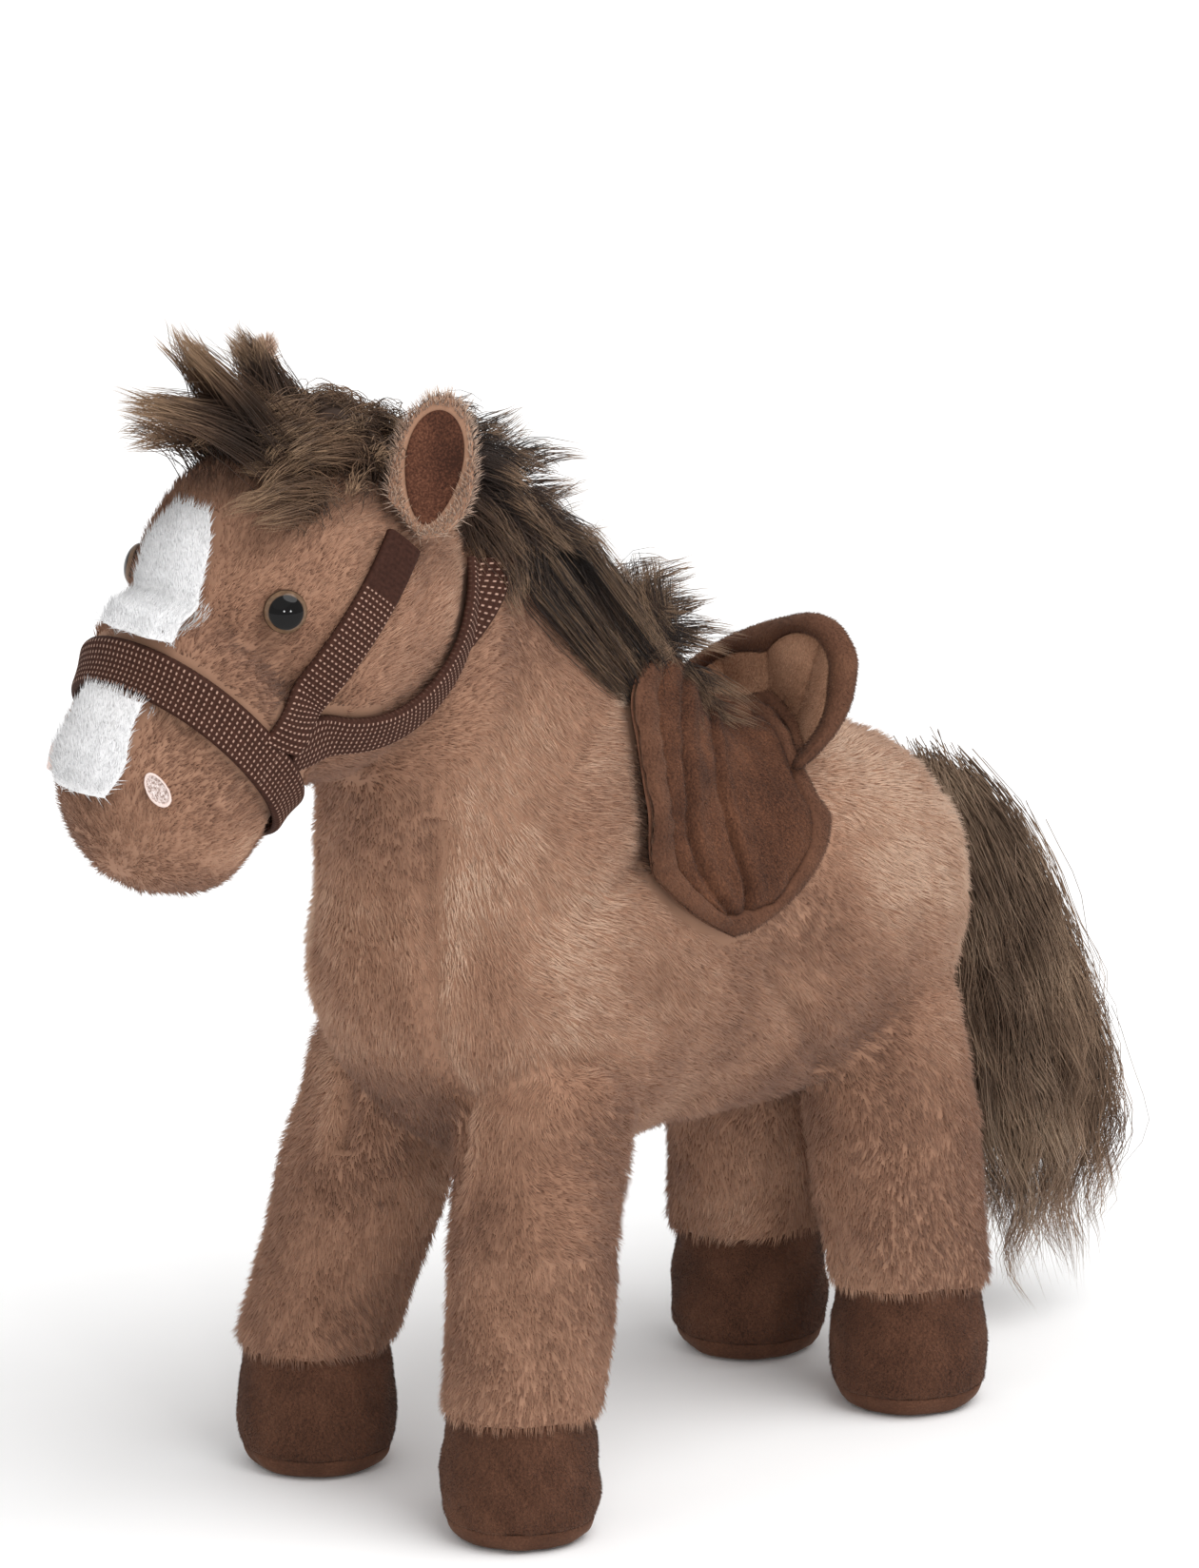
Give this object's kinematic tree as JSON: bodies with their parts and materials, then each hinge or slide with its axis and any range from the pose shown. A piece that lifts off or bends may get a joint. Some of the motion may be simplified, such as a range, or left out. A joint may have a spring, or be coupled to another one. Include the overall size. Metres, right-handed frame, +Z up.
{
  "type": "plush horse",
  "caption": "Standing plush horse with velour hooves, long-pile mane and tail, webbing halter, padded saddle and domed eyes.",
  "frame": {"origin": "on the floor, under the middle of the toy's overall box", "axes": "+Z up; the nose points to -Y and the tail to +Y; +X is the horse's left side"},
  "size_m": [0.13, 0.3865, 0.3465],
  "materials": {
    "plush": "short-pile plush",
    "white_plush": "short-pile plush",
    "velour": "velour",
    "hoof_velour": "velour",
    "lining_velour": "velour",
    "long_pile": "long-pile faux fur",
    "webbing": "woven webbing",
    "nostril_thread": "satin embroidery",
    "eye_plastic": "gloss",
    "washer_plastic": "matte"
  },
  "bodies": {
    "body": {"torso": "plush", "neck_lower": "plush", "mane_lower": "long_pile", "saddle_pad": "velour", "saddle_panel_left": "velour", "saddle_panel_right": "velour", "saddle_cantle": "velour"},
    "head_and_neck": {"neck_upper": "plush", "head": "plush", "muzzle": "plush", "mane_upper": "long_pile", "forelock": "long_pile", "blaze_forehead": "white_plush", "blaze_nose": "white_plush", "eye_left": "eye_plastic", "eye_right": "eye_plastic", "eye_washer_left": "washer_plastic", "eye_washer_right": "washer_plastic", "nostril_left": "nostril_thread", "nostril_right": "nostril_thread", "noseband": "webbing", "cheek_strap_left": "webbing", "cheek_strap_right": "webbing", "throat_strap_left": "webbing", "throat_strap_right": "webbing"},
    "left_ear": {"ear_left": "plush", "ear_lining_left": "lining_velour"},
    "right_ear": {"ear_right": "plush", "ear_lining_right": "lining_velour"},
    "front_left_leg": {"leg_front_left": "plush", "hoof_front_left": "hoof_velour", "sole_front_left": "hoof_velour"},
    "front_right_leg": {"leg_front_right": "plush", "hoof_front_right": "hoof_velour", "sole_front_right": "hoof_velour"},
    "hind_left_leg": {"leg_hind_left": "plush", "hoof_hind_left": "hoof_velour", "sole_hind_left": "hoof_velour"},
    "hind_right_leg": {"leg_hind_right": "plush", "hoof_hind_right": "hoof_velour", "sole_hind_right": "hoof_velour"},
    "tail_lock": {"tail": "long_pile"}
  },
  "joints": [
    {"name": "neck_nod", "type": "hinge", "parent": "body", "child": "head_and_neck", "pos_m": [0, -0.0685, 0.261], "axis": [1, 0, 0], "range_deg": [-5, 12], "stiffness_Nm_per_rad": 2, "springref_deg": -1.09},
    {"name": "left_ear_fold", "type": "hinge", "parent": "head_and_neck", "child": "left_ear", "pos_m": [0.03672, -0.09923, 0.29318], "axis": [0.6954, 0.7025, -0.1517], "range_deg": [-15, 15], "stiffness_Nm_per_rad": 0.02},
    {"name": "right_ear_fold", "type": "hinge", "parent": "head_and_neck", "child": "right_ear", "pos_m": [-0.03672, -0.09923, 0.29318], "axis": [0.6954, -0.7025, 0.1517], "range_deg": [-15, 15], "stiffness_Nm_per_rad": 0.02},
    {"name": "front_left_leg_swing", "type": "hinge", "parent": "body", "child": "front_left_leg", "pos_m": [0.03, -0.0489, 0.113], "axis": [1, 0, 0], "range_deg": [-12, 12], "stiffness_Nm_per_rad": 3},
    {"name": "front_right_leg_swing", "type": "hinge", "parent": "body", "child": "front_right_leg", "pos_m": [-0.03, -0.0489, 0.113], "axis": [1, 0, 0], "range_deg": [-12, 12], "stiffness_Nm_per_rad": 3},
    {"name": "hind_left_leg_swing", "type": "hinge", "parent": "body", "child": "hind_left_leg", "pos_m": [0.0235, 0.08312, 0.113], "axis": [1, 0, 0], "range_deg": [-12, 12], "stiffness_Nm_per_rad": 3},
    {"name": "hind_right_leg_swing", "type": "hinge", "parent": "body", "child": "hind_right_leg", "pos_m": [-0.0235, 0.08312, 0.113], "axis": [1, 0, 0], "range_deg": [-12, 12], "stiffness_Nm_per_rad": 3},
    {"name": "tail_lift", "type": "hinge", "parent": "body", "child": "tail_lock", "pos_m": [0, 0.1301, 0.166], "axis": [1, 0, 0], "range_deg": [0, 55]}
  ]
}
